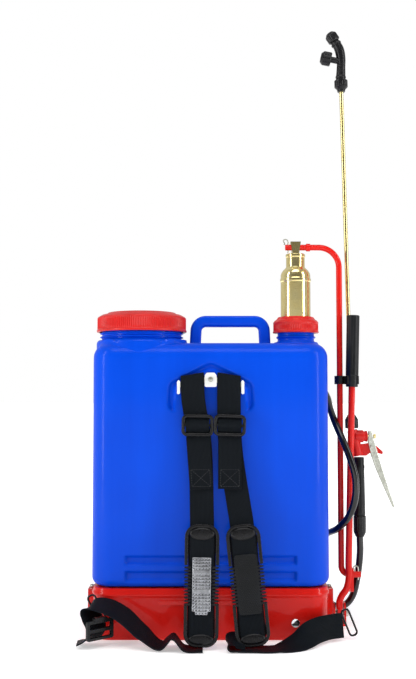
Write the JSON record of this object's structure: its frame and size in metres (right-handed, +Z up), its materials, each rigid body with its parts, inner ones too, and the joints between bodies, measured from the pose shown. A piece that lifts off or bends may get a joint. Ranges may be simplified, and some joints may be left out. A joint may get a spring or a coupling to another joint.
{
  "type": "knapsack sprayer",
  "caption": "Lever-pumped knapsack sprayer: moulded tank on a steel base, brass pressure chamber, pump lever, harness, hose, and lance with shut-off trigger and twin nozzle head.",
  "frame": {"origin": "centre of the base's underside, on the floor it stands on", "axes": "+Z up; -Y towards the harness side, which is the wearer's back; +X towards the pump lever and lance"},
  "size_m": [0.5157, 0.2759, 1.012],
  "materials": {
    "blue_plastic": "semi-gloss blow-moulded",
    "red_plastic": "semi-gloss moulded",
    "red_paint": "gloss powder coat on steel",
    "brass": "polished",
    "zinc": "zinc plated, satin",
    "chrome": "bright plated",
    "black_plastic": "fine satin",
    "rubber": "matte",
    "hose_rubber": "smooth, semi-gloss",
    "webbing": "woven polypropylene webbing",
    "padding": "mesh fabric over foam",
    "pale_plastic": "natural polypropylene",
    "grey_plastic": "satin",
    "leather": "oiled"
  },
  "bodies": {
    "frame": {"tank": "blue_plastic", "carry_handle": "blue_plastic", "strainer_basket": "pale_plastic", "base_skirt": "red_paint", "base_floor": "red_paint", "base_bolt": "chrome", "end_bracket_left": "red_paint", "end_bracket_right": "red_paint", "tie_screw_left": "zinc", "tie_screw_right": "zinc", "lever_bracket": "red_paint", "pivot_bolt": "zinc", "pump_cylinder": "brass", "gland_packing": "rubber", "pump_collar": "red_plastic", "foot_valve": "brass", "delivery_pipe": "brass", "outlet_elbow": "brass", "hose": "hose_rubber", "strap_hanger": "pale_plastic", "hanger_screw": "zinc", "strap_upper_left": "webbing", "strap_upper_right": "webbing", "slide_buckle_left": "black_plastic", "slide_buckle_right": "black_plastic", "shoulder_pad_left": "padding", "shoulder_pad_right": "padding", "strap_lower_left": "webbing", "strap_lower_right": "webbing", "ladder_lock": "black_plastic", "strap_ring_right": "black_plastic", "strap_ring_left": "black_plastic"},
    "lever": {"lever_tube": "red_paint", "lever_grip": "rubber"},
    "chamber": {"pressure_chamber": "brass", "rod_yoke": "brass", "piston": "brass", "piston_cup": "leather"},
    "pump_rod": {"connecting_rod": "red_paint", "upper_clip_pin": "zinc", "lower_clip_pin": "zinc", "park_clip": "black_plastic"},
    "cap_seal": {"cap_gasket": "rubber"},
    "cap_nub": {"cap_vent": "grey_plastic"},
    "cap": {"filler_cap": "red_plastic"},
    "foot_valve_ball": {"foot_ball": "chrome"},
    "lance": {"lance_tube": "brass", "lance_nut": "black_plastic", "tip_nut": "black_plastic", "tip_head": "black_plastic", "valve_body": "red_plastic", "trigger_rivet": "zinc", "handle_grip": "rubber", "hose_nut": "black_plastic"},
    "trigger_lever": {"trigger": "zinc"},
    "valve_stem": {"valve_plunger": "brass"},
    "top_nozzle": {"nozzle_cap_top": "black_plastic"},
    "side_nozzle": {"nozzle_cap_side": "black_plastic"}
  },
  "joints": [
    {"name": "lever_swing", "type": "hinge", "parent": "frame", "child": "lever", "pos_m": [0.212, 0, 0.024], "axis": [1, 0, 0], "range_deg": [0, 65], "deforming": ["hose"]},
    {"name": "chamber_slide", "type": "slide", "parent": "frame", "child": "chamber", "axis": [0, 0, 1], "range_m": [-0.0388, 0]},
    {"name": "rod_swing", "type": "hinge", "parent": "chamber", "child": "pump_rod", "pos_m": [0.1435, 0, 0.632], "axis": [1, 0, 0], "range_deg": [-5.95, 0]},
    {"name": "cap_lift", "type": "slide", "parent": "frame", "child": "cap_seal", "axis": [0, 0, 1], "range_m": [0, 0.11]},
    {"name": "cap_rise", "type": "slide", "parent": "cap_seal", "child": "cap_nub", "axis": [0, 0, 1], "range_m": [0, 0.0125]},
    {"name": "cap_turn", "type": "hinge", "parent": "cap_nub", "child": "cap", "pos_m": [-0.115, -0.008, 0.5], "axis": [0, 0, 1], "range_deg": [0, 720]},
    {"name": "ball_lift", "type": "slide", "parent": "frame", "child": "foot_valve_ball", "axis": [0, 0, 1], "range_m": [0, 0.004]},
    {"name": "lance_off", "type": "slide", "parent": "frame", "child": "lance", "axis": [0, 1, 0], "range_m": [0, 0.12]},
    {"name": "trigger_pull", "type": "hinge", "parent": "lance", "child": "trigger_lever", "pos_m": [0.271, 0.014, 0.296], "axis": [0, 1, 0], "range_deg": [0, 14], "stiffness_Nm_per_rad": 2, "springref_deg": -8.59},
    {"name": "valve_open", "type": "slide", "parent": "lance", "child": "valve_stem", "axis": [1, 0, 0], "range_m": [0, 0.0045]},
    {"name": "top_nozzle_turn", "type": "hinge", "parent": "lance", "child": "top_nozzle", "pos_m": [0.2149, 0.014, 0.9933], "axis": [-0.5593, 0, 0.829], "range_deg": [0, 360]},
    {"name": "side_nozzle_turn", "type": "hinge", "parent": "lance", "child": "side_nozzle", "pos_m": [0.208, 0.014, 0.9613], "axis": [-0.9798, 0, 0.2], "range_deg": [0, 360]}
  ],
  "couplings": [
    {"joint": "chamber_slide", "follows": "lever_swing", "m_per_rad": -0.03411},
    {"joint": "rod_swing", "follows": "lever_swing", "ratio": -0.090877},
    {"joint": "cap_rise", "follows": "cap_turn", "m_per_rad": 0.00095493},
    {"joint": "valve_open", "follows": "trigger_pull", "m_per_rad": 0.0175}
  ]
}
